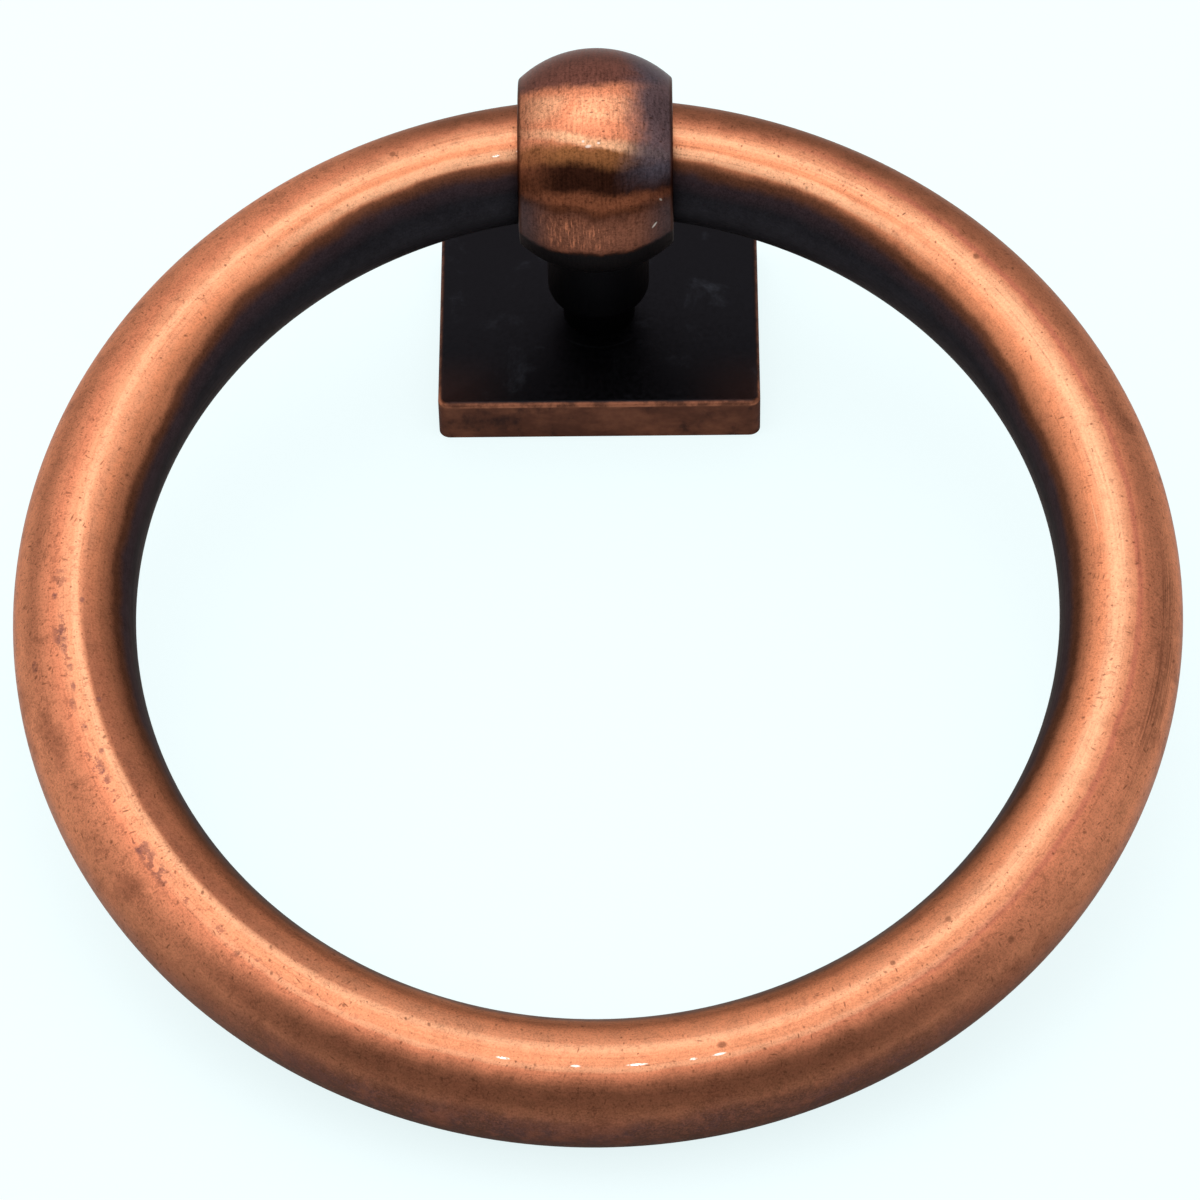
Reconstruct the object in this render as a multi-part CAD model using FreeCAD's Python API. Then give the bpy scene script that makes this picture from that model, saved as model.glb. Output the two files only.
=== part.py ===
import FreeCAD, Part
import math
import os

# Ring pull handle: a bent bar ring swings in the cross bore of a ball-headed post,
# and the post is staked into a small rectangular backplate. Millimetres.
# Origin: mouth of the tapped hole, centre of the plate's back face. +Z leaves the
# plate, +Y goes up the plate, and the ring hangs towards -Y.

# Backplate
PLATE_WIDTH = 26.0
PLATE_HEIGHT = 20.6
PLATE_THICKNESS = 3.9
PLATE_CORNER_RADIUS = 0.9
PLATE_FRONT_ROUND = 0.5

# Post: collar, neck and ball head
BORE_HEIGHT = 21.3
BALL_DIAMETER = 17.8
ACROSS_FLATS = 12.2
FLAT_EDGE_ROUND = 0.4
NECK_DIAMETER = 8.2
NECK_END_HEIGHT = 6.6
NECK_END_ROUND = 1.0
NECK_TO_BALL_ROUND = 0.2
COLLAR_DIAMETER = 5.8

# Tenon through the plate, its end spread into a countersink
TENON_DIAMETER = 5.0
TENON_CLEARANCE = 0.05
FLARE_DIAMETER = 6.4
FLARE_DEPTH = 0.8

# Tapped hole for the mounting screw, modelled at its plain size
SCREW_HOLE_DIAMETER = 3.5
SCREW_HOLE_DEPTH = 12.5
DRILL_POINT_ANGLE = 118.0

# Ring
RING_OUTER_DIAMETER = 89.0
BAR_DIAMETER = 9.35
BUTT_GAP = 0.4
BORE_CLEARANCE = 0.14

# How near two lengths are to count as the same when an edge is picked
SAME = 0.01


def point(radius, height):
    return FreeCAD.Vector(radius, 0, height)


def arc(start, middle, end):
    return Part.Arc(start, middle, end).toShape()


def cylinder_along_x(diameter, length, centre):
    start = centre - FreeCAD.Vector(length / 2, 0, 0)
    return Part.makeCylinder(diameter / 2, length, start, FreeCAD.Vector(1, 0, 0))


# The bar is curved and the bore is straight, so the bore axis sits halfway into the
# bar's bow over the width of the head.
RING_RADIUS = (RING_OUTER_DIAMETER - BAR_DIAMETER) / 2
BOW = RING_RADIUS - math.sqrt(RING_RADIUS ** 2 - (ACROSS_FLATS / 2) ** 2)
BORE_DIAMETER = BAR_DIAMETER + BOW + 2 * BORE_CLEARANCE
CENTRE_TO_BORE = RING_RADIUS - BOW / 2

# At rest the far end of the ring lies on the mounting surface.
REST_DROP = BORE_HEIGHT - BAR_DIAMETER / 2
REST_ANGLE = math.asin(REST_DROP / (CENTRE_TO_BORE + RING_RADIUS))


def screw_hole():
    radius = SCREW_HOLE_DIAMETER / 2
    tip = radius / math.tan(math.radians(DRILL_POINT_ANGLE / 2))
    wall = Part.makeCylinder(radius, SCREW_HOLE_DEPTH)
    drill_point = Part.makeCone(radius, 0, tip, point(0, SCREW_HOLE_DEPTH))
    return wall.fuse(drill_point)


def tenon(clearance):
    flare = Part.makeCone(FLARE_DIAMETER / 2, TENON_DIAMETER / 2 + clearance, FLARE_DEPTH)
    shank = Part.makeCylinder(TENON_DIAMETER / 2 + clearance, PLATE_THICKNESS)
    return flare.fuse(shank)


def backplate():
    corner = FreeCAD.Vector(-PLATE_WIDTH / 2, -PLATE_HEIGHT / 2, 0)
    plate = Part.makeBox(PLATE_WIDTH, PLATE_HEIGHT, PLATE_THICKNESS, corner)
    upright = [e for e in plate.Edges if e.BoundBox.ZLength > PLATE_THICKNESS / 2]
    plate = plate.makeFillet(PLATE_CORNER_RADIUS, upright)
    front = [e for e in plate.Edges if e.BoundBox.ZMin > PLATE_THICKNESS / 2]
    plate = plate.makeFillet(PLATE_FRONT_ROUND, front)
    return plate.cut(tenon(TENON_CLEARANCE))


def head_and_neck():
    ball = BALL_DIAMETER / 2
    neck = NECK_DIAMETER / 2
    collar = COLLAR_DIAMETER / 2
    neck_top = BORE_HEIGHT - math.sqrt(ball ** 2 - neck ** 2)
    corner = point(neck - NECK_END_ROUND, NECK_END_HEIGHT + NECK_END_ROUND)
    lean = NECK_END_ROUND * math.sqrt(0.5)
    outline = [
        Part.makePolygon([
            point(0, PLATE_THICKNESS),
            point(collar, PLATE_THICKNESS),
            point(collar, NECK_END_HEIGHT),
            point(corner.x, NECK_END_HEIGHT),
        ]),
        arc(point(corner.x, NECK_END_HEIGHT), corner + point(lean, -lean), point(neck, corner.z)),
        Part.makeLine(point(neck, corner.z), point(neck, neck_top)),
        arc(point(neck, neck_top), point(ball, BORE_HEIGHT), point(0, BORE_HEIGHT + ball)),
        Part.makeLine(point(0, BORE_HEIGHT + ball), point(0, PLATE_THICKNESS)),
    ]
    turned = Part.Face(Part.Wire([e for o in outline for e in o.Edges]))
    turned = turned.revolve(point(0, 0), point(0, 1), 360)
    joint = [e for e in turned.Edges if is_circle_at(e, neck_top)]
    return turned.makeFillet(NECK_TO_BALL_ROUND, joint)


def is_circle_at(edge, height):
    box = edge.BoundBox
    return box.ZLength < SAME and abs(box.ZMin - height) < SAME and box.XLength > SAME


def post():
    body = head_and_neck()
    half = ACROSS_FLATS / 2
    for side in (-1, 1):
        waste = Part.makeBox(BALL_DIAMETER, BALL_DIAMETER, BALL_DIAMETER)
        across = half if side > 0 else -half - BALL_DIAMETER
        low = BORE_HEIGHT - BALL_DIAMETER / 2
        waste.translate(FreeCAD.Vector(across, -BALL_DIAMETER / 2, low))
        body = body.cut(waste)
    rims = [e for e in body.Edges if e.BoundBox.XLength < SAME and e.BoundBox.YLength > half]
    body = body.makeFillet(FLAT_EDGE_ROUND, rims)
    body = body.cut(cylinder_along_x(BORE_DIAMETER, 2 * BALL_DIAMETER, point(0, BORE_HEIGHT)))
    return body.fuse(tenon(0)).removeSplitter().cut(screw_hole())


def ring():
    hoop = Part.makeTorus(RING_RADIUS, BAR_DIAMETER / 2)
    gap = Part.makeBox(BUTT_GAP, 2 * BAR_DIAMETER, 2 * BAR_DIAMETER)
    gap.translate(FreeCAD.Vector(-BUTT_GAP / 2, RING_RADIUS - BAR_DIAMETER, -BAR_DIAMETER))
    hoop = hoop.cut(gap)
    hoop.translate(FreeCAD.Vector(0, -CENTRE_TO_BORE, 0))
    hoop.rotate(FreeCAD.Vector(0, 0, 0), FreeCAD.Vector(1, 0, 0), math.degrees(REST_ANGLE))
    hoop.translate(point(0, BORE_HEIGHT))
    return hoop


os.makedirs("parts", exist_ok=True)
nodes = {"backplate": backplate(), "post": post(), "ring": ring()}
for name, shape in nodes.items():
    shape.exportStep("parts/" + name + ".step")
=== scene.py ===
import math

import bmesh
import bpy
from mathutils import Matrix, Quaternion, Vector


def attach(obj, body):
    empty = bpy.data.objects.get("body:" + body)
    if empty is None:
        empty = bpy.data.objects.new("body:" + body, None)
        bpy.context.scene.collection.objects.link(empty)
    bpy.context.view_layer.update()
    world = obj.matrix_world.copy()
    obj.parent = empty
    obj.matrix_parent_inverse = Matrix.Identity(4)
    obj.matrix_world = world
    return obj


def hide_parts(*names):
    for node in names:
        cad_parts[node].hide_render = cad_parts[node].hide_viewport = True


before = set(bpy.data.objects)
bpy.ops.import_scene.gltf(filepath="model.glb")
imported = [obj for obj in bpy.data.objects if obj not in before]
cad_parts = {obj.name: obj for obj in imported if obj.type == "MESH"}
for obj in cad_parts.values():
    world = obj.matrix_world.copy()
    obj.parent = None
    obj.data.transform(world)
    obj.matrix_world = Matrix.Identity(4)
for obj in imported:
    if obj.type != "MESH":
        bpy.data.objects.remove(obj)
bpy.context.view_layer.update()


# The backplate is a small block of brass, plated with copper and blackened. Its
# front corners and edges are broken and rubbed through, so thin copper lines show,
# and its centre hole is countersunk behind to take the post's spread end.
PLATE_WIDTH = 0.0260
PLATE_HEIGHT = 0.0206
PLATE_THICKNESS = 0.0039
PLATE_CORNER_RADIUS = 0.0009
PLATE_FRONT_ROUND = 0.0005
TENON_RADIUS = 0.0025
TENON_CLEARANCE = 0.00005
FLARE_RADIUS = 0.0032
FLARE_DEPTH = 0.0008
# Radius of the painted highlight arc in front of the collar
HIGHLIGHT_ARC_RADIUS = 0.0041

# How far a cutting tool runs past the face that it cuts
TOOL_OVERRUN = 0.001

BLACKENED = (0.0115, 0.0109, 0.0130)
BLUE_GREY = (0.050, 0.053, 0.064)
BARE_COPPER = (0.50, 0.185, 0.100)
BROWN_COPPER = (0.105, 0.040, 0.026)


def take_up(piece):
    """Makes one piece the only selected one and the active one."""
    bpy.ops.object.select_all(action="DESELECT")
    piece.select_set(True)
    bpy.context.view_layer.objects.active = piece


def edit(piece, pick_edges=None, pick_faces=None):
    """Opens edit mode on one piece with only the picked elements selected."""
    take_up(piece)
    bpy.ops.object.mode_set(mode="EDIT")
    bpy.ops.mesh.select_all(action="DESELECT")
    shell = bmesh.from_edit_mesh(piece.data)
    if pick_edges:
        bpy.ops.mesh.select_mode(type="EDGE")
        for edge in shell.edges:
            edge.select_set(pick_edges(edge))
    if pick_faces:
        bpy.ops.mesh.select_mode(type="FACE")
        for face in shell.faces:
            face.select_set(pick_faces(face))
    shell.select_flush_mode()
    bmesh.update_edit_mesh(piece.data)


def leave_edit():
    bpy.ops.object.mode_set(mode="OBJECT")


def settle(piece, name, smooth_angle=35):
    """Names a piece, puts its place into its mesh and smooths it."""
    take_up(piece)
    bpy.ops.object.transform_apply(location=True, rotation=True, scale=True)
    bpy.ops.object.shade_smooth_by_angle(angle=math.radians(smooth_angle))
    piece.name = name
    piece.data.name = name


def boolean(piece, tool, operation):
    """Cuts a tool out of a piece, or joins it on, and removes the tool."""
    change = piece.modifiers.new("change", "BOOLEAN")
    change.operation = operation
    change.solver = "EXACT"
    change.object = tool
    take_up(piece)
    bpy.ops.object.modifier_apply(modifier=change.name)
    bpy.data.objects.remove(tool)


def lathe(steps, sides, along_x=False, centre=(0.0, 0.0, 0.0)):
    """Turns a solid by extruding and scaling an end face through radius and height steps."""
    radius, height = steps[0]
    bpy.ops.object.select_all(action="DESELECT")
    bpy.ops.mesh.primitive_circle_add(vertices=sides, radius=radius, fill_type="NGON",
                                      location=(0.0, 0.0, height))
    piece = bpy.context.object
    bpy.ops.object.transform_apply(location=True)
    edit(piece, pick_faces=lambda face: True)
    for new_radius, new_height in steps[1:]:
        bpy.ops.mesh.extrude_region_move(
            TRANSFORM_OT_translate={"value": (0.0, 0.0, new_height - height)})
        scale = new_radius / radius
        bpy.ops.transform.resize(value=(scale, scale, 1.0), center_override=(0.0, 0.0, new_height))
        radius, height = new_radius, new_height
    bpy.ops.mesh.select_all(action="SELECT")
    bpy.ops.mesh.normals_make_consistent(inside=False)
    leave_edit()
    piece.rotation_euler = (0.0, math.pi / 2, 0.0) if along_x else (0.0, 0.0, 0.0)
    piece.location = centre
    bpy.ops.object.transform_apply(location=True, rotation=True)
    return piece


def new_finish(name, edge_tint=(1.0, 1.0, 1.0)):
    """A material with an empty node tree, its shader and its output."""
    finish = bpy.data.materials.new(name)
    finish.use_nodes = True
    tree = finish.node_tree
    tree.nodes.clear()
    shader = tree.nodes.new("ShaderNodeBsdfPrincipled")
    output = tree.nodes.new("ShaderNodeOutputMaterial")
    tree.links.new(shader.outputs["BSDF"], output.inputs["Surface"])
    shader.inputs["Metallic"].default_value = 1.0
    shader.inputs["IOR"].default_value = 1.5
    shader.inputs["Specular IOR Level"].default_value = 0.5
    shader.inputs["Specular Tint"].default_value = (*edge_tint, 1.0)
    return finish, tree, shader


def dress(piece, finish):
    """Gives a piece its finish in place of any other."""
    piece.data.materials.clear()
    piece.data.materials.append(finish)


def feed(tree, socket, value):
    """Puts a number, a tuple or another node's output into a socket."""
    if hasattr(value, "links"):
        tree.links.new(value, socket)
    else:
        socket.default_value = value


def calc(tree, operation, first, second=0.0, third=0.0, clamp=False):
    """One step of arithmetic on numbers or node outputs."""
    node = tree.nodes.new("ShaderNodeMath")
    node.operation = operation
    node.use_clamp = clamp
    for socket, value in zip(node.inputs, (first, second, third)):
        feed(tree, socket, value)
    return node.outputs[0]


def times(tree, first, *others):
    """Multiplies values, from left to right."""
    for other in others:
        first = calc(tree, "MULTIPLY", first, other)
    return first


def largest(tree, first, *others):
    """The largest of the values."""
    for other in others:
        first = calc(tree, "MAXIMUM", first, other)
    return first


def weighted(tree, start, *shares):
    """Adds values to a start, each times its own weight."""
    for value, weight in shares:
        start = calc(tree, "MULTIPLY_ADD", value, weight, start)
    return start


def fade(tree, value, start, end, low=0.0, high=1.0):
    """Goes smoothly from low to high while the value goes from start to end."""
    node = tree.nodes.new("ShaderNodeMapRange")
    node.interpolation_type = "SMOOTHSTEP"
    for socket, entry in zip(("Value", "From Min", "From Max", "To Min", "To Max"),
                             (value, start, end, low, high)):
        feed(tree, node.inputs[socket], entry)
    return node.outputs["Result"]


def near(tree, value, centre, far, close, high=1.0):
    """Highest while the value is close to the centre, nothing once it is far from it."""
    distance = calc(tree, "ABSOLUTE", calc(tree, "SUBTRACT", value, centre))
    return fade(tree, distance, far, close, 0.0, high)


def blend_colours(tree, amount, under, over):
    """Lays one colour over another by an amount."""
    node = tree.nodes.new("ShaderNodeMix")
    node.data_type = "RGBA"
    feed(tree, node.inputs["Factor"], amount)
    for index, colour in ((6, under), (7, over)):
        if hasattr(colour, "links"):
            tree.links.new(colour, node.inputs[index])
        else:
            node.inputs[index].default_value = (*colour, 1.0)
    return node.outputs[2]


def scaled(tree, colour, factor):
    node = tree.nodes.new("ShaderNodeVectorMath")
    node.operation = "SCALE"
    feed(tree, node.inputs[0], colour)
    feed(tree, node.inputs["Scale"], factor)
    return node.outputs["Vector"]


def zones(tree, value, stops):
    """Colours that change along a value, from stops of place and colour."""
    first, last = stops[0][0], stops[-1][0]
    node = tree.nodes.new("ShaderNodeValToRGB")
    node.color_ramp.interpolation = "EASE"
    share = calc(tree, "DIVIDE", calc(tree, "SUBTRACT", value, first), last - first, clamp=True)
    tree.links.new(share, node.inputs["Fac"])
    stop = node.color_ramp.elements
    stop[0].color = (*stops[0][1], 1.0)
    stop[1].color = (*stops[-1][1], 1.0)
    for place, colour in stops[1:-1]:
        stop.new((place - first) / (last - first)).color = (*colour, 1.0)
    return node.outputs["Color"]


def cloud(tree, place, scale, detail=4.0, roughness=0.55, distortion=0.0):
    """Soft random variation, near one half on average."""
    node = tree.nodes.new("ShaderNodeTexNoise")
    feed(tree, node.inputs["Vector"], place)
    node.inputs["Scale"].default_value = scale
    node.inputs["Detail"].default_value = detail
    node.inputs["Roughness"].default_value = roughness
    node.inputs["Distortion"].default_value = distortion
    return node.outputs["Fac"]


def placed(tree, source, location=(0.0, 0.0, 0.0), rotation=(0.0, 0.0, 0.0), scale=(1.0, 1.0, 1.0),
           kind="POINT"):
    """Moves, turns or stretches coordinates."""
    node = tree.nodes.new("ShaderNodeMapping")
    node.vector_type = kind
    feed(tree, node.inputs["Vector"], source)
    node.inputs["Location"].default_value = location
    node.inputs["Rotation"].default_value = rotation
    node.inputs["Scale"].default_value = scale
    return node.outputs["Vector"]


def split(tree, vector):
    node = tree.nodes.new("ShaderNodeSeparateXYZ")
    tree.links.new(vector, node.inputs[0])
    return node.outputs


def joined(tree, x, y, z):
    node = tree.nodes.new("ShaderNodeCombineXYZ")
    for socket, value in zip(node.inputs, (x, y, z)):
        feed(tree, socket, value)
    return node.outputs[0]


def bumped(tree, height, distance, strength=1.0):
    """A surface direction that follows a height."""
    node = tree.nodes.new("ShaderNodeBump")
    node.inputs["Strength"].default_value = strength
    node.inputs["Distance"].default_value = distance
    tree.links.new(height, node.inputs["Height"])
    return node.outputs["Normal"]


bpy.ops.object.select_all(action="DESELECT")
bpy.ops.mesh.primitive_cube_add(size=1.0, location=(0.0, 0.0, PLATE_THICKNESS / 2),
                                scale=(PLATE_WIDTH, PLATE_HEIGHT, PLATE_THICKNESS))
plate = bpy.context.object
bpy.ops.object.transform_apply(location=True, rotation=True, scale=True)
edit(plate, pick_edges=lambda edge: abs(edge.verts[0].co.z - edge.verts[1].co.z) > PLATE_THICKNESS / 2)
bpy.ops.mesh.bevel(offset=PLATE_CORNER_RADIUS, segments=8)
leave_edit()
edit(plate, pick_edges=lambda edge: min(corner.co.z for corner in edge.verts) > PLATE_THICKNESS / 2)
bpy.ops.mesh.bevel(offset=PLATE_FRONT_ROUND, segments=6)
leave_edit()
hole = TENON_RADIUS + TENON_CLEARANCE
hole_tool = lathe([(2 * FLARE_RADIUS - hole, -FLARE_DEPTH), (hole, FLARE_DEPTH),
                   (hole, PLATE_THICKNESS + TOOL_OVERRUN)], 64)
boolean(plate, hole_tool, "DIFFERENCE")
settle(plate, "backplate_dressed")

plate_finish, tree, shader = new_finish("blackened_plate", (0.65, 0.60, 0.60))
spot = tree.nodes.new("ShaderNodeTexCoord").outputs["Object"]
across, up, out = split(tree, spot)
facing = split(tree, tree.nodes.new("ShaderNodeTexCoord").outputs["Normal"])
grain = cloud(tree, spot, 2600.0, 3.0, 0.6)

# Black face with grey smudges, a little brown at its lower corners
smudge = fade(tree, cloud(tree, spot, 230.0, 6.0, 0.68, 0.4), 0.54, 0.84, 0.0, 0.7)
face_colour = blend_colours(tree, smudge, BLACKENED, BLUE_GREY)
warm_corners = times(tree, fade(tree, up, -0.004, -0.0100),
                     fade(tree, calc(tree, "ABSOLUTE", across), 0.006, 0.0128), 0.22)
face_colour = blend_colours(tree, warm_corners, face_colour, BROWN_COPPER)

# Browner sides, with dark patches
side_turn = calc(tree, "SUBTRACT", 1.0, calc(tree, "ABSOLUTE", facing[2]))
side_patch = cloud(tree, placed(tree, spot, scale=(1.0, 1.0, 1.6)), 240.0, 5.0, 0.65)
side_colour = blend_colours(tree, fade(tree, side_patch, 0.40, 0.75, 0.0, 0.28), BROWN_COPPER, BARE_COPPER)
side_place = placed(tree, spot, location=(0.3, 0.1, 0.0), scale=(1.0, 1.0, 0.7))
side_dark = fade(tree, cloud(tree, side_place, 420.0, 5.0, 0.65), 0.50, 0.72, 0.0, 0.7)
side_colour = blend_colours(tree, side_dark, side_colour, BLACKENED)
plate_colour = blend_colours(tree, fade(tree, side_turn, 0.55, 0.9), face_colour, side_colour)

# Rims rubbed through to the copper, most of all along the lower edge
rub = fade(tree, cloud(tree, spot, 700.0, 4.0, 0.65), 0.36, 0.58, 0.35, 1.0)
rim_rub = times(tree, fade(tree, side_turn, 0.03, 0.35), fade(tree, side_turn, 0.92, 0.60), rub,
                fade(tree, up, -0.0070, -0.0098, 0.35, 1.0))
plate_colour = blend_colours(tree, rim_rub, plate_colour, BARE_COPPER)

# A faint painted highlight: a pale arc in front of the collar
from_post = calc(tree, "SQRT", calc(tree, "MULTIPLY_ADD", across, across, times(tree, up, up)))
arc_highlight = times(tree, near(tree, from_post, HIGHLIGHT_ARC_RADIUS, 0.00015, 0.00004),
              fade(tree, up, -0.0028, -0.0038), 0.35)
plate_colour = blend_colours(tree, arc_highlight, plate_colour, BLUE_GREY)

tree.links.new(plate_colour, shader.inputs["Base Color"])
tree.links.new(fade(tree, grain, 0.3, 0.7, 0.34, 0.50), shader.inputs["Roughness"])
tree.links.new(bumped(tree, grain, 0.00002, 0.6), shader.inputs["Normal"])
dress(plate, plate_finish)
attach(plate, "base")
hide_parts("backplate")


# The post is one turned brass piece: a thin collar, a thicker neck and a ball head
# with two flats, cross-bored for the ring. It is copper-plated and brushed, black
# from the neck down, and its tenon is spread into the back of the plate.
BORE_HEIGHT = 0.0213
BALL_RADIUS = 0.0089
HALF_FLATS = 0.0061
FLAT_EDGE_ROUND = 0.0004
NECK_RADIUS = 0.0041
NECK_END_HEIGHT = 0.0066
NECK_END_ROUND = 0.0010
NECK_TO_BALL_ROUND = 0.0002
COLLAR_RADIUS = 0.0029
BORE_RADIUS = 0.00505
SCREW_HOLE_RADIUS = 0.00175
SCREW_HOLE_DEPTH = 0.0125
SCREW_HOLE_POINT = 0.00105

# Where the stem ends inside the ball, below the bore's axis, how far the bore's tool
# reaches, the blunt tip of the drill point, and the lift that keeps two rings of the
# turned outline apart at the collar's foot
STEM_TOP_DROP = 0.0066
BORE_TOOL_REACH = 0.012
DRILL_TIP_RADIUS = 0.00002
LEDGE_LIFT = 0.000002

RUBBED_COPPER = (0.66, 0.228, 0.115)
# A painted highlight colour, then the near-white of painted glints
HIGHLIGHT_COPPER = (0.78, 0.395, 0.217)
GLINT_WHITE = (0.95, 0.860, 0.760)
OCHRE_BROWN = (0.300, 0.112, 0.040)
DARK_BROWN = (0.050, 0.016, 0.009)
NECK_BLACK = (0.0070, 0.0064, 0.0074)
MID_BROWN = (0.310, 0.098, 0.046)
PINK_COPPER = (0.225, 0.080, 0.047)
CAP_SHADE_BROWN = (0.175, 0.064, 0.046)
# Brown for the ball's cap, which is painted shade
VIOLET_GREY = (0.096, 0.080, 0.100)
LOW_VIOLET = (0.062, 0.042, 0.045)

# From metres to millimetres, and how far up the photograph a step up the plate and a
# step out of it go
TO_MM = 1000.0
RISE_UP = 0.764
RISE_OUT = 0.645

# Layers of pits: cells in a millimetre, the share of cells without a pit, and the
# size of the widest pit as a share of a cell
PIT_LAYERS = ((1.1, 0.80, 0.22), (2.3, 0.72, 0.20))

# Bright nicks with painted glints: place across the ball and round it, then half the size in
# each of these directions, all in millimetres, and the turn in radians
HEAD_NICK_GLINTS = ((-0.5, 8.20, 0.32, 0.16, 0.2), (0.3, 8.45, 0.16, 0.12, 0.0), (-0.9, 8.60, 0.14, 0.14, 0.0),
              (5.1, 3.20, 0.10, 0.22, 0.5), (4.6, 0.60, 0.12, 0.42, -0.6))


def arc_steps(centre_radius, centre_height, size, start, end, count):
    """Points on an arc as radius and height, angles in degrees from outwards."""
    steps = []
    for index in range(count + 1):
        angle = math.radians(start + (end - start) * index / count)
        steps.append((centre_radius + size * math.cos(angle), centre_height + size * math.sin(angle)))
    return steps


def patch(tree, skin, x, y, half_x, half_y, turn=0.0):
    """One inside an oval spot on a piece's skin, fading to nothing at its rim."""
    local = placed(tree, skin, location=(x, y, 0.0), rotation=(0.0, 0.0, turn),
                   scale=(half_x, half_y, 1.0), kind="TEXTURE")
    node = tree.nodes.new("ShaderNodeVectorMath")
    node.operation = "LENGTH"
    tree.links.new(local, node.inputs[0])
    return fade(tree, node.outputs["Value"], 1.0, 0.4)


def scattered(tree, place, cells_per_mm):
    """Distance to the nearest of many scattered points, and that point's own random numbers."""
    cells = tree.nodes.new("ShaderNodeTexVoronoi")
    cells.voronoi_dimensions = "2D"
    cells.inputs["Scale"].default_value = cells_per_mm
    tree.links.new(place, cells.inputs["Vector"])
    return cells.outputs["Distance"], split(tree, cells.outputs["Color"])


def limited(tree, value, low, high):
    """Keeps a value between two limits."""
    return calc(tree, "MINIMUM", calc(tree, "MAXIMUM", value, low), high)


fillet_centre_radius = NECK_RADIUS + NECK_TO_BALL_ROUND
fillet_centre_height = BORE_HEIGHT - math.sqrt((BALL_RADIUS + NECK_TO_BALL_ROUND) ** 2
                                               - fillet_centre_radius ** 2)
fillet_end = math.degrees(math.atan2(BORE_HEIGHT - fillet_centre_height, -fillet_centre_radius))
stem_steps = [(FLARE_RADIUS, 0.0), (TENON_RADIUS, FLARE_DEPTH), (TENON_RADIUS, PLATE_THICKNESS),
              (COLLAR_RADIUS, PLATE_THICKNESS + LEDGE_LIFT), (COLLAR_RADIUS, NECK_END_HEIGHT)]
stem_steps += arc_steps(NECK_RADIUS - NECK_END_ROUND, NECK_END_HEIGHT + NECK_END_ROUND, NECK_END_ROUND,
                        -88, 0, 8)
stem_steps += arc_steps(fillet_centre_radius, fillet_centre_height, NECK_TO_BALL_ROUND,
                        180, fillet_end, 6)
stem_steps += [(fillet_centre_radius - NECK_TO_BALL_ROUND * 1.2, BORE_HEIGHT - STEM_TOP_DROP)]
post = lathe(stem_steps, 96)

rim_turn = math.acos((HALF_FLATS - FLAT_EDGE_ROUND) / (BALL_RADIUS - FLAT_EDGE_ROUND))
rim_centre = (BALL_RADIUS - FLAT_EDGE_ROUND) * math.sin(rim_turn)
half_head = arc_steps(0.0, 0.0, BALL_RADIUS, 0.0, 90 - math.degrees(rim_turn), 24)
half_head += arc_steps(rim_centre, HALF_FLATS - FLAT_EDGE_ROUND, FLAT_EDGE_ROUND,
                       90 - math.degrees(rim_turn), 90, 6)[1:]
half_head += [(BORE_RADIUS - TOOL_OVERRUN, HALF_FLATS)]
head_steps = [(radius, -height) for radius, height in reversed(half_head)] + half_head[1:]
head = lathe(head_steps, 160, along_x=True, centre=(0.0, 0.0, BORE_HEIGHT))
boolean(post, head, "UNION")
bore_tool = lathe([(BORE_RADIUS, -BORE_TOOL_REACH), (BORE_RADIUS, BORE_TOOL_REACH)], 96, along_x=True,
                  centre=(0.0, 0.0, BORE_HEIGHT))
boolean(post, bore_tool, "DIFFERENCE")
screw_tool = lathe([(SCREW_HOLE_RADIUS, -TOOL_OVERRUN), (SCREW_HOLE_RADIUS, SCREW_HOLE_DEPTH),
                    (DRILL_TIP_RADIUS, SCREW_HOLE_DEPTH + SCREW_HOLE_POINT)], 48)
boolean(post, screw_tool, "DIFFERENCE")
settle(post, "post_dressed")

post_finish, tree, shader = new_finish("brushed_antique_copper", (0.75, 0.68, 0.66))
spot = tree.nodes.new("ShaderNodeTexCoord").outputs["Object"]
head_spot = placed(tree, spot, location=(0.0, 0.0, BORE_HEIGHT), kind="TEXTURE")
across, up, out = split(tree, head_spot)
across_mm = times(tree, across, TO_MM)
from_middle = calc(tree, "ABSOLUTE", across_mm)
head_angle = calc(tree, "ARCTAN2", out, times(tree, up, -1.0))
skin = joined(tree, across_mm, times(tree, head_angle, BALL_RADIUS * TO_MM), 0.0)
rise_mm = calc(tree, "MULTIPLY_ADD", up, RISE_UP * TO_MM, times(tree, out, RISE_OUT * TO_MM))
brush = cloud(tree, placed(tree, skin, rotation=(0.0, 0.0, 0.12), scale=(5.0, 0.55, 1.0)), 1.0, 5.0, 0.7)
tone = cloud(tree, head_spot, 190.0, 5.0, 0.62, 0.5)
mottle = cloud(tree, head_spot, 1100.0, 5.0, 0.65)
specks = cloud(tree, head_spot, 4800.0, 3.0, 0.75)
uneven = calc(tree, "SUBTRACT", calc(tree, "MULTIPLY_ADD", mottle, 0.35, tone), 0.675)
lean = weighted(tree, calc(tree, "DEGREES", head_angle), (uneven, 16.0))

# Bands round the ball, from the neck's black in front up to the rubbed crown. The dark band across its front
# and the brown bands beside it are painted shade, which turns mid brown on the left
copper = zones(tree, lean, (
    (-19.0, NECK_BLACK), (-13.0, DARK_BROWN), (-9.0, PINK_COPPER), (15.0, PINK_COPPER), (19.0, MID_BROWN),
    (25.0, MID_BROWN), (31.0, DARK_BROWN), (40.0, DARK_BROWN), (46.0, OCHRE_BROWN), (49.0, OCHRE_BROWN),
    (57.0, RUBBED_COPPER), (100.0, RUBBED_COPPER)))
left_band_brown = times(tree, fade(tree, lean, 22.0, 30.0), fade(tree, lean, 56.0, 46.0),
                  fade(tree, weighted(tree, across_mm, (uneven, 3.0)), -2.8, -5.0), 0.45)
copper = blend_colours(tree, left_band_brown, copper, MID_BROWN)
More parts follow.
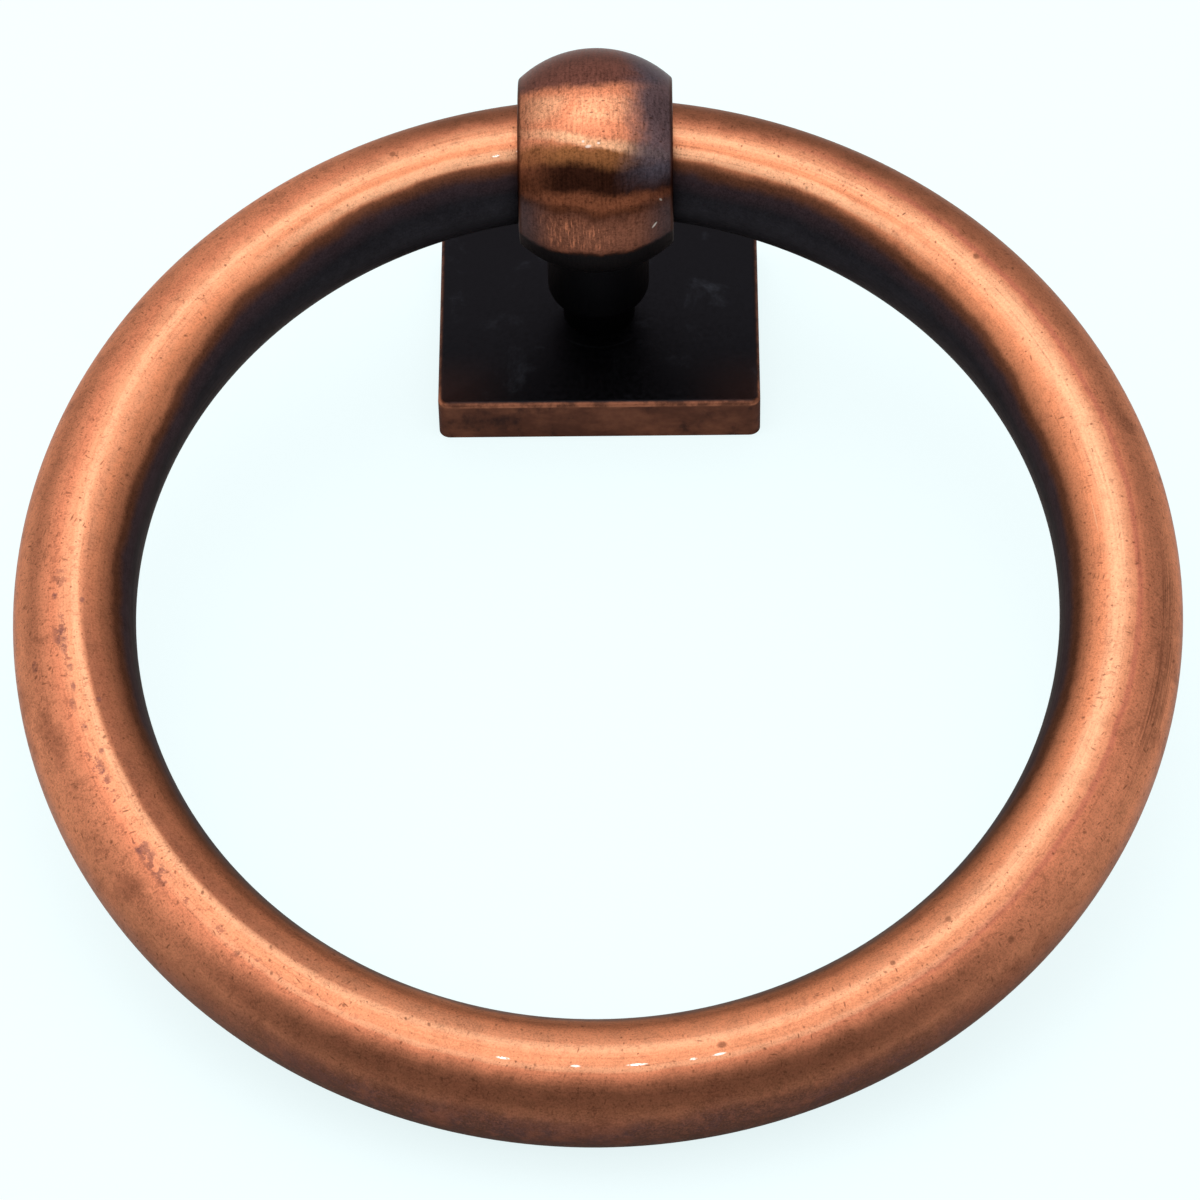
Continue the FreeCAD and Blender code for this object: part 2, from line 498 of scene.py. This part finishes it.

# Painted highlights: a bright line across the ball and a glow above it
ridge_highlight_place = weighted(tree, rise_mm, (uneven, 1.4), (across_mm, 0.16))
ridge_highlight = times(tree, fade(tree, ridge_highlight_place, 0.15, 0.60), fade(tree, ridge_highlight_place, 1.45, 0.85),
              fade(tree, from_middle, 6.0, 2.0, 0.35, 1.0))
copper = blend_colours(tree, ridge_highlight, copper, HIGHLIGHT_COPPER)
upper_glow = times(tree, fade(tree, rise_mm, 1.9, 3.0), fade(tree, rise_mm, 4.9, 4.1),
                   near(tree, across_mm, -1.2, 5.8, 2.2), fade(tree, tone, 0.40, 0.58), 0.65)
copper = blend_colours(tree, upper_glow, copper, HIGHLIGHT_COPPER)

# Browner left end, then painted shade: a dark curved line low on the ball and a brown cap at its top
copper = blend_colours(tree, times(tree, fade(tree, across_mm, -5.2, -6.0), 0.35), copper, MID_BROWN)
smile = calc(tree, "MULTIPLY_ADD", times(tree, across_mm, across_mm), -0.10, lean)
smile_shade_line = times(tree, fade(tree, smile, 22.0, 18.5), fade(tree, smile, 13.5, 17.0), 0.50)
copper = blend_colours(tree, smile_shade_line, copper, DARK_BROWN)
cap_shade_edge = weighted(tree, rise_mm, (uneven, -1.8), (across_mm, -0.10))
copper = blend_colours(tree, fade(tree, cap_shade_edge, 4.9, 5.8), copper, CAP_SHADE_BROWN)

# Grey right side, violet low sides, and a copper streak between these
grey_edge = weighted(tree, across_mm, (uneven, 4.0))
grey_side = times(tree, fade(tree, grey_edge, 1.6, 4.4), fade(tree, lean, 26.0, 40.0), 0.88)
copper = blend_colours(tree, grey_side, copper, VIOLET_GREY)
low_sides = times(tree, fade(tree, from_middle, 2.8, 5.8), fade(tree, lean, 30.0, 16.0), 0.88)
copper = blend_colours(tree, low_sides, copper, LOW_VIOLET)
low_streak = times(tree, fade(tree, brush, 0.48, 0.68), fade(tree, lean, 16.0, 8.0),
                   fade(tree, lean, -10.0, -5.0), near(tree, across_mm, -1.6, 3.6, 1.2, 0.75))
copper = blend_colours(tree, low_streak, copper, RUBBED_COPPER)

# Grain, dark rims of the flats, pits, and nicks with painted glints
copper = blend_colours(tree, fade(tree, mottle, 0.50, 0.70, 0.0, 0.30), copper, DARK_BROWN)
grain = weighted(tree, -1.3, (mottle, 0.8), (brush, 1.8), (specks, 2.0))
copper = scaled(tree, copper, limited(tree, grain, 0.40, 1.25))
copper = blend_colours(tree, times(tree, fade(tree, from_middle, 5.75, 6.0), 0.85), copper, DARK_BROWN)
pits = 0.0
for index, (cells_per_mm, bare_share, widest) in enumerate(PIT_LAYERS):
    place = placed(tree, skin, location=(2.3 * index, 5.1, 0.0), rotation=(0.0, 0.0, 0.9),
                   scale=(1.0, 1.8, 1.0))
    distance, lot = scattered(tree, place, cells_per_mm)
    width = calc(tree, "MULTIPLY_ADD", lot[1], widest * 0.7, widest * 0.3)
    pit = times(tree, calc(tree, "GREATER_THAN", lot[0], bare_share),
                fade(tree, distance, width, times(tree, width, 0.4)))
    pits = largest(tree, pits, pit)
copper = blend_colours(tree, times(tree, pits, 0.6), copper, DARK_BROWN)
for nick_glint in HEAD_NICK_GLINTS:
    copper = blend_colours(tree, times(tree, patch(tree, skin, *nick_glint), 0.6), copper, GLINT_WHITE)

below_ball = largest(tree, fade(tree, out, -0.0068, -0.0078), fade(tree, lean, -11.0, -15.0))
tree.links.new(blend_colours(tree, below_ball, copper, NECK_BLACK), shader.inputs["Base Color"])
dull = largest(tree, below_ball, fade(tree, lean, 4.0, -12.0))
rough = weighted(tree, fade(tree, brush, 0.25, 0.75, 0.30, 0.42), (dull, 0.16))
tree.links.new(rough, shader.inputs["Roughness"])
relief = weighted(tree, brush, (pits, -1.0), (mottle, 0.8))
tree.links.new(bumped(tree, relief, 0.000012, 0.40), shader.inputs["Normal"])
dress(post, post_finish)
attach(post, "base")
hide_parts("post")


# The ring is round brass bar bent to a circle through the head's cross bore, so its
# butt joint hides in the ball. It is copper-plated and rubbed bright on the side that hands
# reach, left black inside, with pits from handling. Painted light lies on it too: shade
# that browns the outside, highlight lines along the bar and glints on nicks.
RING_OUTER_RADIUS = 0.0445
BAR_RADIUS = 0.004675
BUTT_GAP = 0.0004
RING_RADIUS = RING_OUTER_RADIUS - BAR_RADIUS
BOW = RING_RADIUS - math.sqrt(RING_RADIUS ** 2 - HALF_FLATS ** 2)
CENTRE_TO_BORE = RING_RADIUS - BOW / 2
REST_ANGLE = math.asin((BORE_HEIGHT - BAR_RADIUS) / (CENTRE_TO_BORE + RING_RADIUS))
RING_CENTRE = (0.0, -CENTRE_TO_BORE * math.cos(REST_ANGLE),
               BORE_HEIGHT - CENTRE_TO_BORE * math.sin(REST_ANGLE))

BRIGHT_COPPER = (0.68, 0.272, 0.140)
PALE_COPPER = (0.77, 0.395, 0.220)
COPPER = (0.70, 0.250, 0.118)
ROSE_COPPER = (0.72, 0.245, 0.124)
OUTER_COPPER = (0.74, 0.265, 0.134)
LIMB_COPPER = (0.58, 0.260, 0.175)
TAN_COPPER = (0.56, 0.200, 0.094)
# Brown patina, also used for stains and marks and, on the outside, as painted shade
BROWN_PATINA_AND_SHADE = (0.140, 0.050, 0.026)
VIOLET_BLACK = (0.050, 0.031, 0.035)
BLACK_PATINA = (0.022, 0.020, 0.024)
RED_STAIN = (0.260, 0.085, 0.045)
RED_COPPER = (0.500, 0.145, 0.090)
SPOT_VIOLET = (0.150, 0.058, 0.050)

# Marks that stand out: place round the ring from its right-hand side, place round the
# bar from its front line towards the inside, both in degrees, then half the length
# and half the width in millimetres.
DARK_SPOTS = ((113.0, -11.0, 0.34, 0.34), (43.0, -7.0, 0.34, 0.34), (311.5, 14.0, 0.34, 0.34),
              (315.0, -39.0, 0.36, 0.36), (303.5, 11.0, 0.30, 0.30), (283.0, -1.0, 0.50, 0.34))
VIOLET_STAINS = ((182.2, -14.0, 0.40, 0.28), (187.6, -8.0, 1.60, 0.46), (191.0, -4.0, 0.45, 0.36),
                 (193.3, -5.0, 0.70, 0.26), (195.4, -9.0, 0.75, 0.34), (198.5, -5.0, 0.45, 0.34),
                 (201.8, 2.0, 0.40, 0.32), (203.8, -5.0, 0.50, 0.32), (182.8, 12.0, 0.34, 0.28),
                 (195.5, 15.0, 0.32, 0.28), (189.5, -40.0, 0.60, 0.44), (214.0, -12.0, 0.50, 0.30))
# The bright nicks are painted glints
NICK_GLINTS = ((260.2, -6.5, 0.62, 0.11), (267.7, -8.0, 0.45, 0.11), (274.0, -8.0, 0.95, 0.11),
                (279.8, -9.0, 0.35, 0.11), (282.5, -9.0, 0.60, 0.11), (101.8, 21.0, 0.40, 0.11),
                (99.0, 20.0, 0.30, 0.11))

# A long fine scratch, with its turn in radians as the last number
LONG_SCRATCH = (7.0, 22.0, 2.20, 0.07, 0.03)

# Layers of small random marks: heading in radians, cells in a millimetre, how much
# longer than wide, the least share of cells without a mark, and the widest mark
MARK_LAYERS = ((0.3, 0.56, 4.4, 0.79, 0.074), (1.8, 0.58, 3.8, 0.80, 0.078),
               (0.9, 0.95, 1.5, 0.79, 0.140), (1.9, 1.90, 1.3, 0.76, 0.190))


def spot_on_bar(tree, skin, clock, side, length, width, turn=0.0):
    """One inside an oval spot on the bar. The skin's own angle starts at the far end."""
    round_mm = math.radians((clock + 270) % 360 - 180) * RING_RADIUS * TO_MM
    return patch(tree, skin, round_mm, math.radians(side) * BAR_RADIUS * TO_MM, length, width, turn)


bpy.ops.object.select_all(action="DESELECT")
bpy.ops.mesh.primitive_torus_add(major_segments=288, minor_segments=96, major_radius=RING_RADIUS,
                                 minor_radius=BAR_RADIUS)
ring = bpy.context.object
bpy.ops.mesh.primitive_cube_add(size=1.0, location=(0.0, RING_RADIUS, 0.0),
                                scale=(BUTT_GAP, 3 * BAR_RADIUS, 3 * BAR_RADIUS))
gap_tool = bpy.context.object
boolean(ring, gap_tool, "DIFFERENCE")
ring.rotation_euler = (REST_ANGLE, 0.0, 0.0)
ring.location = RING_CENTRE
settle(ring, "ring_dressed")

ring_finish, tree, shader = new_finish("rubbed_antique_copper", (0.70, 0.62, 0.58))
spot = tree.nodes.new("ShaderNodeTexCoord").outputs["Object"]
flat = placed(tree, spot, location=RING_CENTRE, rotation=(REST_ANGLE, 0.0, 0.0), kind="TEXTURE")
across, upward, out = split(tree, flat)
reach = calc(tree, "SQRT", calc(tree, "MULTIPLY_ADD", across, across, times(tree, upward, upward)))
height = calc(tree, "DIVIDE", upward, reach)
round_angle = calc(tree, "ARCTAN2", across, times(tree, upward, -1.0))
bar_angle = calc(tree, "ARCTAN2", calc(tree, "SUBTRACT", RING_RADIUS, reach), out)
skin = joined(tree, times(tree, round_angle, RING_RADIUS * TO_MM),
              times(tree, bar_angle, BAR_RADIUS * TO_MM), 0.0)
round_degrees = calc(tree, "DEGREES", round_angle)
bar_degrees = calc(tree, "DEGREES", bar_angle)
soft = cloud(tree, flat, 75.0, 3.0, 0.60)
mottle = cloud(tree, flat, 420.0, 4.0, 0.68)
stain = cloud(tree, placed(tree, flat, location=(0.4, 0.2, 0.1)), 170.0, 4.0, 0.65)
rough_skin = cloud(tree, placed(tree, flat, location=(0.1, 0.5, 0.3)), 1500.0, 3.0, 0.75)
fine = cloud(tree, flat, 6800.0, 2.0, 0.7)
streak = cloud(tree, placed(tree, skin, scale=(0.10, 5.5, 1.0)), 1.0, 3.0, 0.6)
blotch = weighted(tree, stain, (rough_skin, 0.7), (mottle, 0.5))
wander = weighted(tree, -17.0, (mottle, 12.0), (soft, 22.0))
line = weighted(tree, bar_degrees, (wander, 0.35))

# The lean is the place round the bar, unevenly shifted. It jumps by a full turn at the
# back of the bar, where both ends of the bands are alike.
inner_shift = calc(tree, "ADD", fade(tree, height, 0.35, 1.0, 0.0, 14.0),
                   fade(tree, height, 0.0, -1.0, 0.0, -6.0))
inner_shift = times(tree, inner_shift, fade(tree, bar_degrees, 14.0, 30.0))
lean = calc(tree, "ADD", calc(tree, "ADD", bar_degrees, wander), inner_shift)
lean = weighted(tree, lean, (calc(tree, "GREATER_THAN", lean, 135.0), -360.0))
back = fade(tree, lean, -190.0, -215.0)
front = calc(tree, "SUBTRACT", 1.0, back)
outside = fade(tree, lean, -8.0, -34.0)
inside_end = times(tree, fade(tree, lean, 50.0, 38.0), front)
left_side = near(tree, round_degrees, -62.0, 46.0, 14.0)

# Bands round the bar, then painted shade that browns the outside at the far end and beside the ball
copper = zones(tree, lean, (
    (-225.0, BLACK_PATINA), (-212.0, BLACK_PATINA), (-196.0, BROWN_PATINA_AND_SHADE), (-175.0, LIMB_COPPER),
    (-88.0, LIMB_COPPER), (-60.0, OUTER_COPPER), (-32.0, OUTER_COPPER), (-15.0, ROSE_COPPER),
    (-4.0, BRIGHT_COPPER), (14.0, BRIGHT_COPPER), (25.0, COPPER), (37.0, TAN_COPPER),
    (48.5, BROWN_PATINA_AND_SHADE), (61.0, VIOLET_BLACK), (78.0, BLACK_PATINA)))
top_outer_shade = times(tree, fade(tree, height, 0.20, 0.95, 0.0, 0.80), fade(tree, across, 0.0, 0.006))
top_outer_shade = largest(tree, top_outer_shade, fade(tree, height, 0.84, 0.98, 0.0, 0.80))
outer_shade = largest(
    tree, times(tree, outside, fade(tree, height, -0.62, -0.95, 0.0, 0.72)),
    times(tree, fade(tree, lean, -34.0, -66.0), fade(tree, height, -0.30, -0.98, 0.0, 0.92)),
    times(tree, fade(tree, lean, -4.0, -27.0), top_outer_shade))
copper = blend_colours(tree, times(tree, outer_shade, front), copper, BROWN_PATINA_AND_SHADE)

# Red-brown and spotted left side, a red line and brown streaks on the right side
left_brown = times(tree, left_side, 0.85, fade(tree, line, 8.0, 15.0),
                   fade(tree, line, 18.0, 38.0, 1.0, 0.45), fade(tree, lean, 52.0, 40.0))
copper = blend_colours(tree, left_brown, copper, RED_STAIN)
left_spots = times(tree, left_side, fade(tree, blotch, 1.14, 1.25), near(tree, line, -9.0, 10.0, 4.0), 0.75)
copper = blend_colours(tree, left_spots, copper, SPOT_VIOLET)
right_line = times(tree, near(tree, line, -13.0, 4.5, 1.0), fade(tree, across, 0.010, 0.028, 0.0, 0.65))
copper = blend_colours(tree, right_line, copper, RED_COPPER)
right_streak = times(tree, near(tree, line, -47.0, 17.0, 6.0), near(tree, round_degrees, 80.0, 15.0, 6.0),
                     fade(tree, weighted(tree, streak, (mottle, 0.7)), 0.76, 0.98, 0.15, 0.70))
copper = blend_colours(tree, right_streak, copper, BROWN_PATINA_AND_SHADE)
# Painted shade: darker towards the lower outer limb, broken up in blotches
limb_shade = times(tree, fade(tree, lean, -44.0, -76.0), fade(tree, height, -0.60, -0.95),
                  fade(tree, blotch, 1.02, 1.22, 0.45, 0.95), front)
copper = blend_colours(tree, limb_shade, copper, VIOLET_BLACK)

# Painted highlights: pale lines along the bar, and painted shade in the browner copper between them
beside_ball = fade(tree, height, 0.62, 0.90, 0.0, 0.85)
from_highlight_line = calc(tree, "ABSOLUTE", calc(tree, "ADD", line, calc(tree, "MULTIPLY_ADD", height, 4.0, -5.5)))
pale = largest(
    tree, fade(tree, from_highlight_line, 6.0, 1.0, 0.0, 0.50),
    times(tree, fade(tree, across, 0.018, 0.034), fade(tree, from_highlight_line, 13.0, 3.0, 0.0, 0.62)),
    times(tree, near(tree, line, 22.0, 7.5, 2.5), beside_ball),
    times(tree, near(tree, line, -11.0, 4.0, 1.0), fade(tree, height, -0.55, -0.90, 0.0, 0.45)))
copper = blend_colours(tree, pale, copper, PALE_COPPER)
between = largest(
    tree, times(tree, near(tree, line, 13.0, 4.5, 1.0), beside_ball),
    times(tree, near(tree, line, -2.0, 7.0, 2.0), fade(tree, height, -0.50, -0.90, 0.0, 0.55)))
copper = blend_colours(tree, between, copper, TAN_COPPER)

# Stains, which crowd outside, on the left and in random areas
crowding = fade(tree, cloud(tree, placed(tree, flat, location=(0.7, 0.0, 0.3)), 60.0, 2.0, 0.6), 0.44, 0.66)
crowding = largest(tree, times(tree, crowding, 0.7), times(tree, outside, 0.6), times(tree, left_side, 0.75))
stained = largest(
    tree, times(tree, fade(tree, stain, 0.48, 0.68), calc(tree, "MULTIPLY_ADD", outside, 0.45, 0.15)),
    fade(tree, mottle, 0.52, 0.72, 0.0, 0.45),
    times(tree, fade(tree, rough_skin, 0.48, 0.66), calc(tree, "MULTIPLY_ADD", crowding, 0.35, 0.30)),
    fade(tree, fine, 0.50, 0.68, 0.0, 0.30), fade(tree, streak, 0.52, 0.72, 0.0, 0.35))
copper = blend_colours(tree, times(tree, stained, inside_end), copper, RED_STAIN)

# Small random marks and the marks that stand out
marks = 0.0
for index, (heading, cells_per_mm, stretch, bare_share, widest) in enumerate(MARK_LAYERS):
    place = placed(tree, skin, location=(3.7 * index, 1.9 * index, 0.0), rotation=(0.0, 0.0, heading))
    distance, lot = scattered(tree, placed(tree, place, scale=(1.0, stretch, 1.0)), cells_per_mm)
    needed = calc(tree, "MULTIPLY_ADD", crowding, -0.26, bare_share + 0.12)
    width = calc(tree, "MULTIPLY_ADD", times(tree, lot[1], lot[1]), widest, widest * 0.55)
    width = times(tree, width, stretch ** 0.5)
    mark = times(tree, calc(tree, "GREATER_THAN", lot[0], needed),
                 fade(tree, distance, width, times(tree, width, 0.25)),
                 calc(tree, "MULTIPLY_ADD", lot[2], 0.65, 0.3))
    marks = largest(tree, marks, mark)
for mark in DARK_SPOTS:
    marks = largest(tree, marks, times(tree, spot_on_bar(tree, skin, *mark), 0.8))
copper = blend_colours(tree, times(tree, inside_end, 0.72, marks), copper, BROWN_PATINA_AND_SHADE)
stains = largest(tree, 0.0, *(spot_on_bar(tree, skin, *mark) for mark in VIOLET_STAINS))
stains = times(tree, stains, fade(tree, rough_skin, 0.38, 0.56, 0.15, 0.66))
copper = blend_colours(tree, stains, copper, SPOT_VIOLET)
# Painted glints on the bright nicks
for mark in NICK_GLINTS:
    nick_glint = times(tree, spot_on_bar(tree, skin, *mark), fade(tree, fine, 0.36, 0.48))
    copper = blend_colours(tree, nick_glint, copper, GLINT_WHITE)

# Grain over all of it, and the scratch on top
grain = weighted(tree, -0.43, (mottle, 0.8), (rough_skin, 0.8), (fine, 1.3))
copper = scaled(tree, copper, limited(tree, grain, 0.55, 1.28))
scratch = times(tree, spot_on_bar(tree, skin, *LONG_SCRATCH), 0.6)
copper = blend_colours(tree, scratch, copper, PALE_COPPER)

tree.links.new(copper, shader.inputs["Base Color"])
black = largest(tree, fade(tree, lean, 44.0, 64.0), back)
rough = weighted(tree, fade(tree, streak, 0.3, 0.7, 0.28, 0.38), (fine, 0.10))
rough = weighted(tree, rough, (largest(tree, marks, black), 0.14))
tree.links.new(rough, shader.inputs["Roughness"])
relief = weighted(tree, times(tree, streak, 0.35), (mottle, 0.45))
tree.links.new(bumped(tree, relief, 0.00004, 0.55), shader.inputs["Normal"])
dress(ring, ring_finish)
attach(ring, "ring")
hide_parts("ring")


# The floor is one plain pale sheet that the plate's back and the ring's far end lie on.
FLOOR_COLOUR = (0.88, 0.945, 0.950)
BACKDROP_COLOUR = (0.95, 1.08, 1.09)
BACKDROP_SHARE = 0.80

bpy.ops.object.select_all(action="DESELECT")
bpy.ops.mesh.primitive_plane_add(size=6.0, location=(0.0, 0.0, -0.00002))
floor = bpy.context.object
floor.name = "floor"
floor_finish, tree, shader = new_finish("pale_floor")
shader.inputs["Base Color"].default_value = (*FLOOR_COLOUR, 1.0)
shader.inputs["Metallic"].default_value = 0.0
shader.inputs["Roughness"].default_value = 0.85
shader.inputs["Specular IOR Level"].default_value = 0.1
backdrop = tree.nodes.new("ShaderNodeEmission")
backdrop.inputs["Color"].default_value = (*BACKDROP_COLOUR, 1.0)
floor_ray = tree.nodes.new("ShaderNodeLightPath")
seen = calc(tree, "MULTIPLY", floor_ray.outputs["Is Camera Ray"], BACKDROP_SHARE)
surface = tree.nodes.new("ShaderNodeMixShader")
tree.links.new(seen, surface.inputs["Fac"])
tree.links.new(shader.outputs["BSDF"], surface.inputs[1])
tree.links.new(backdrop.outputs["Emission"], surface.inputs[2])
tree.links.new(surface.outputs["Shader"], tree.nodes["Material Output"].inputs["Surface"])
floor.data.materials.append(floor_finish)

# Soft studio light: a broad lamp overhead that reaches far to the left, a small bright
# one in its middle, low panels behind, left and right, and a dim even room.
ROOM_COLOUR = (0.93, 0.96, 1.00)
ROOM_STRENGTH = 0.42
LAMPS = (
    ("overhead", (-0.20, 0.00, 0.46), (1.15, 0.75), 2.20),
    ("middle", (-0.06, 0.02, 0.44), (0.30, 0.26), 0.30),
    ("behind", (-0.05, 0.62, 0.34), (1.20, 0.55), 0.95),
    ("left", (-0.78, -0.08, 0.20), (0.50, 0.40), 0.26),
    ("right", (0.60, -0.12, 0.30), (0.36, 0.40), 0.24),
)
LAMPS_POINTING_DOWN = ("overhead", "middle")
LAMP_AIM = Vector((0.0, -0.04, 0.01))

for name, place, size, power in LAMPS:
    lamp_data = bpy.data.lights.new(name, "AREA")
    lamp_data.shape = "RECTANGLE"
    lamp_data.size, lamp_data.size_y = size
    lamp_data.energy = power
    lamp = bpy.data.objects.new(name, lamp_data)
    bpy.context.scene.collection.objects.link(lamp)
    lamp.location = place
    if name not in LAMPS_POINTING_DOWN:
        lamp.rotation_euler = (LAMP_AIM - Vector(place)).to_track_quat("-Z", "Y").to_euler()

world = bpy.data.worlds.new("room")
world.use_nodes = True
tree = world.node_tree
room = tree.nodes["Background"]
room.inputs["Color"].default_value = (*ROOM_COLOUR, 1.0)
room.inputs["Strength"].default_value = ROOM_STRENGTH
wall = tree.nodes.new("ShaderNodeBackground")
wall.inputs["Color"].default_value = (*BACKDROP_COLOUR, 1.0)
room_ray = tree.nodes.new("ShaderNodeLightPath")
room_or_wall = tree.nodes.new("ShaderNodeMixShader")
tree.links.new(room_ray.outputs["Is Camera Ray"], room_or_wall.inputs["Fac"])
tree.links.new(room.outputs["Background"], room_or_wall.inputs[1])
tree.links.new(wall.outputs["Background"], room_or_wall.inputs[2])
tree.links.new(room_or_wall.outputs["Shader"], tree.nodes["World Output"].inputs["Surface"])
bpy.context.scene.world = world

# The camera looks down on the handle from the ring's side, through a long lens.
CAMERA_PLACE = Vector((0.0049770, -0.3245898, 0.3528964))
CAMERA_AIM = Vector((0.0002014, -0.0386421, 0.0130688))
CAMERA_LENS = 174.96
CAMERA_SENSOR = 36.0
CAMERA_ROLL = math.radians(-1.247)

camera_data = bpy.data.cameras.new("camera")
camera_data.sensor_width = CAMERA_SENSOR
camera_data.lens = CAMERA_LENS
camera_data.clip_start = 0.01
camera_data.clip_end = 20.0
camera = bpy.data.objects.new("camera", camera_data)
bpy.context.scene.collection.objects.link(camera)
camera.location = CAMERA_PLACE
camera.rotation_mode = "QUATERNION"
sight = CAMERA_AIM - CAMERA_PLACE
camera.rotation_quaternion = Quaternion(-sight.normalized(), CAMERA_ROLL) @ sight.to_track_quat("-Z", "Y")
bpy.context.scene.camera = camera
bpy.context.scene.view_settings.view_transform = "Standard"
